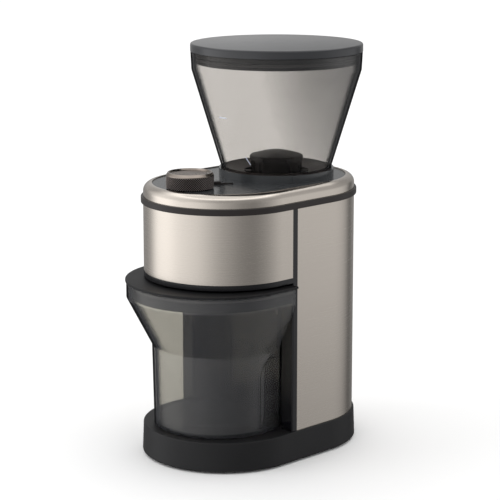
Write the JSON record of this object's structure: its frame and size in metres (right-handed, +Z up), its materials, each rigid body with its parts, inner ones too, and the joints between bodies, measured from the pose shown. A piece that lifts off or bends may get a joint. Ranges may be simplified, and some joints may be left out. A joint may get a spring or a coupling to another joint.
{
  "type": "burr coffee grinder",
  "caption": "Electric conical-burr coffee grinder: rounded steel-clad column, overhanging head, smoked bean hopper, top dial and a pull-out smoked grounds container.",
  "frame": {"origin": "on the table, under the middle of the whole object", "axes": "+Z up, front of the grinder towards -Y, +X to the right seen from the front"},
  "size_m": [0.1366, 0.2034, 0.3187],
  "materials": {
    "base_black": "satin dark charcoal moulding with a fine grain",
    "inner_black": "plain black moulding",
    "foot_rubber": "soft black rubber",
    "screw_steel": "zinc plated steel",
    "seal_rubber": "black rubber",
    "stainless": "fine brushing that runs round the body, warm tone",
    "bay_gloss": "glossy black moulding",
    "band_black": "satin black moulding",
    "bezel_steel": "brushed along its length",
    "plate_gloss": "piano black",
    "smoke_hopper": "clear smoked plastic",
    "hopper_floor": "dark brown-black moulding",
    "cap_black": "dark moulding",
    "lid_black": "dark grey gloss",
    "clear_seal": "soft silicone",
    "smoke_container": "clear smoked plastic",
    "lid_satin": "satin dark charcoal",
    "burr_steel": "ground hardened steel",
    "shaft_steel": "ground steel",
    "gear_steel": "cut steel",
    "gear_nylon": "natural nylon",
    "gearbox_grey": "glass filled nylon",
    "bush_bronze": "sintered bronze",
    "motor_zinc": "zinc plated steel",
    "magnet": "ferrite",
    "carbon": "carbon",
    "core_iron": "laminated iron and varnished copper wire",
    "copper": "turned copper",
    "board_green": "circuit board",
    "pin_white": "white acetal",
    "spring_steel": "spring wire",
    "knob_black": "black with a diamond knurl",
    "dial_bronze": "dark bronze, spun",
    "button_bronze": "dark bronze, spun"
  },
  "bodies": {
    "chassis": {"base_shell": "base_black", "base_plate": "inner_black", "rubber_feet": "foot_rubber", "base_screws": "screw_steel", "cord_bushing": "seal_rubber", "rear_shell": "inner_black", "rear_wrap": "stainless", "bay_panel": "bay_gloss", "head_housing": "bay_gloss", "front_panel": "stainless", "top_frame": "band_black", "top_bezel": "bezel_steel", "top_plate": "plate_gloss", "index_pointer": "band_black", "hopper_collar": "plate_gloss", "chute": "inner_black", "chute_seal": "seal_rubber", "burr_housing": "inner_black", "idler_pin": "shaft_steel", "gearbox_housing": "gearbox_grey", "gearbox_cover": "gearbox_grey", "gearbox_screws": "screw_steel", "shaft_bushings": "bush_bronze", "motor_can": "motor_zinc", "motor_magnets": "magnet", "motor_end_cap": "inner_black", "motor_brushes": "carbon", "power_board": "board_green", "control_board": "board_green", "dial_encoder": "gearbox_grey", "interlock_switch": "band_black", "plunger_spring": "spring_steel"},
    "hopper": {"hopper_shell": "smoke_hopper", "hopper_base": "hopper_floor", "burr_cap": "cap_black"},
    "hopper_lid": {"hopper_lid": "lid_black", "hopper_lid_seal": "clear_seal"},
    "adjuster": {"adjuster_ring": "inner_black"},
    "ring_burr": {"ring_burr_carrier": "inner_black", "ring_burr": "burr_steel"},
    "burr_shaft": {"cone_burr": "burr_steel", "grounds_sweeper": "inner_black", "burr_shaft": "shaft_steel", "burr_nut": "screw_steel", "output_gear": "gear_nylon"},
    "idler": {"idler_gear": "gear_nylon"},
    "motor_rotor": {"motor_pinion": "gear_steel", "motor_shaft": "shaft_steel", "armature": "core_iron", "commutator": "copper"},
    "container": {"grounds_container": "smoke_container"},
    "container_lid": {"container_lid": "lid_satin", "container_lid_seal": "clear_seal"},
    "plunger": {"interlock_plunger": "pin_white"},
    "dial": {"dial_knob": "knob_black", "dial_ring": "dial_bronze", "button_spring": "spring_steel"},
    "start_button": {"start_button": "button_bronze"}
  },
  "joints": [
    {"name": "grind_setting", "type": "hinge", "parent": "chassis", "child": "adjuster", "pos_m": [0, 0.0345, 0.206], "axis": [0, 0, 1], "range_deg": [-45, 45]},
    {"name": "burr_gap", "type": "slide", "parent": "chassis", "child": "ring_burr", "axis": [0, 0, 1], "range_m": [-0.0006, 0.0006]},
    {"name": "hopper_lift", "type": "slide", "parent": "adjuster", "child": "hopper", "axis": [0, 0, 1], "range_m": [0, 0.08]},
    {"name": "hopper_lid_lift", "type": "slide", "parent": "hopper", "child": "hopper_lid", "axis": [0, 0, 1], "range_m": [0, 0.08]},
    {"name": "motor_spin", "type": "hinge", "parent": "chassis", "child": "motor_rotor", "pos_m": [0, 0.0505, 0.1], "axis": [0, 0, 1], "continuous": true},
    {"name": "idler_spin", "type": "hinge", "parent": "chassis", "child": "idler", "pos_m": [0.02559, 0.04587, 0.155], "axis": [0, 0, 1], "continuous": true},
    {"name": "burr_spin", "type": "hinge", "parent": "chassis", "child": "burr_shaft", "pos_m": [0, 0.0345, 0.17], "axis": [0, 0, 1], "continuous": true},
    {"name": "container_slide", "type": "slide", "parent": "chassis", "child": "container", "axis": [0, -1, 0], "range_m": [0, 0.12]},
    {"name": "container_lid_lift", "type": "slide", "parent": "container", "child": "container_lid", "axis": [0, 0, 1], "range_m": [0, 0.0012]},
    {"name": "interlock_travel", "type": "slide", "parent": "chassis", "child": "plunger", "axis": [0, -1, 0], "range_m": [0, 0.002]},
    {"name": "dial_turn", "type": "hinge", "parent": "chassis", "child": "dial", "pos_m": [0, -0.0579, 0.218], "axis": [0, 0, 1], "range_deg": [-150, 150]},
    {"name": "start_press", "type": "slide", "parent": "dial", "child": "start_button", "axis": [0, 0, -1], "range_m": [0, 0.001], "stiffness_N_per_m": 300, "springref_m": -0.0005, "deforming": ["button_spring"]}
  ],
  "couplings": [
    {"joint": "idler_spin", "follows": "motor_spin", "ratio": -0.3},
    {"joint": "burr_spin", "follows": "motor_spin", "ratio": 0.088889},
    {"joint": "burr_gap", "follows": "grind_setting", "m_per_rad": 0.00076318},
    {"joint": "interlock_travel", "follows": "container_slide", "ratio": 0.01665}
  ]
}
